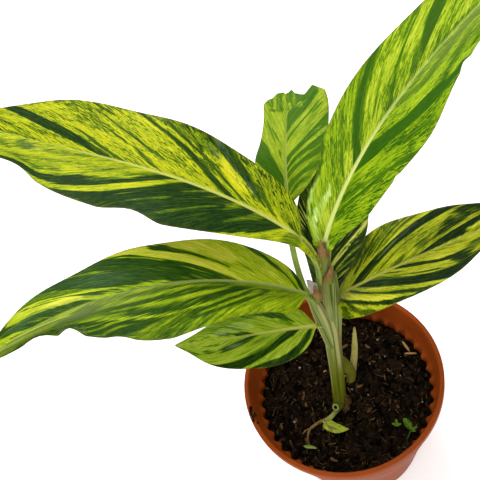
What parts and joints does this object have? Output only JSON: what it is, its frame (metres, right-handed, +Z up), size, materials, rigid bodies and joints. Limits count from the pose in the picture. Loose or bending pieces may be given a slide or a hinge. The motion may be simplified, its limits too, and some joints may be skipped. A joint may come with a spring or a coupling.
{
  "type": "potted variegated shell ginger",
  "caption": "Young variegated shell ginger with long lance-shaped striped leaves on a leaning stem, standing in dark soil in a round terracotta-coloured nursery pot.",
  "frame": {"origin": "middle of the pot's flat underside", "axes": "+Z up along the pot's axis; -X is the side of the long left-hand leaves, +X the side of the upright leaf; -Y is the front, with the short stub leaf on the soil"},
  "size_m": [0.3127, 0.1954, 0.3187],
  "materials": {
    "pot_plastic": "moulded terracotta-coloured plastic, faint sheen",
    "soil": "moist peat with bark chips and perlite",
    "stem": "smooth pale green sheaths",
    "leaf": "waxy leaf, green and yellow stripes",
    "root": "dry brown root"
  },
  "bodies": {
    "root": {"pot": "pot_plastic", "soil": "soil", "pseudostem": "stem", "leaf_upper_left": "leaf", "leaf_upper_right": "leaf", "leaf_back": "leaf", "leaf_right": "leaf", "leaf_hidden": "leaf", "leaf_lower_left": "leaf", "leaf_small_left": "leaf", "new_shoot": "stem", "stub_leaf": "leaf", "surface_root": "root", "sprout": "leaf"}
  },
  "joints": []
}
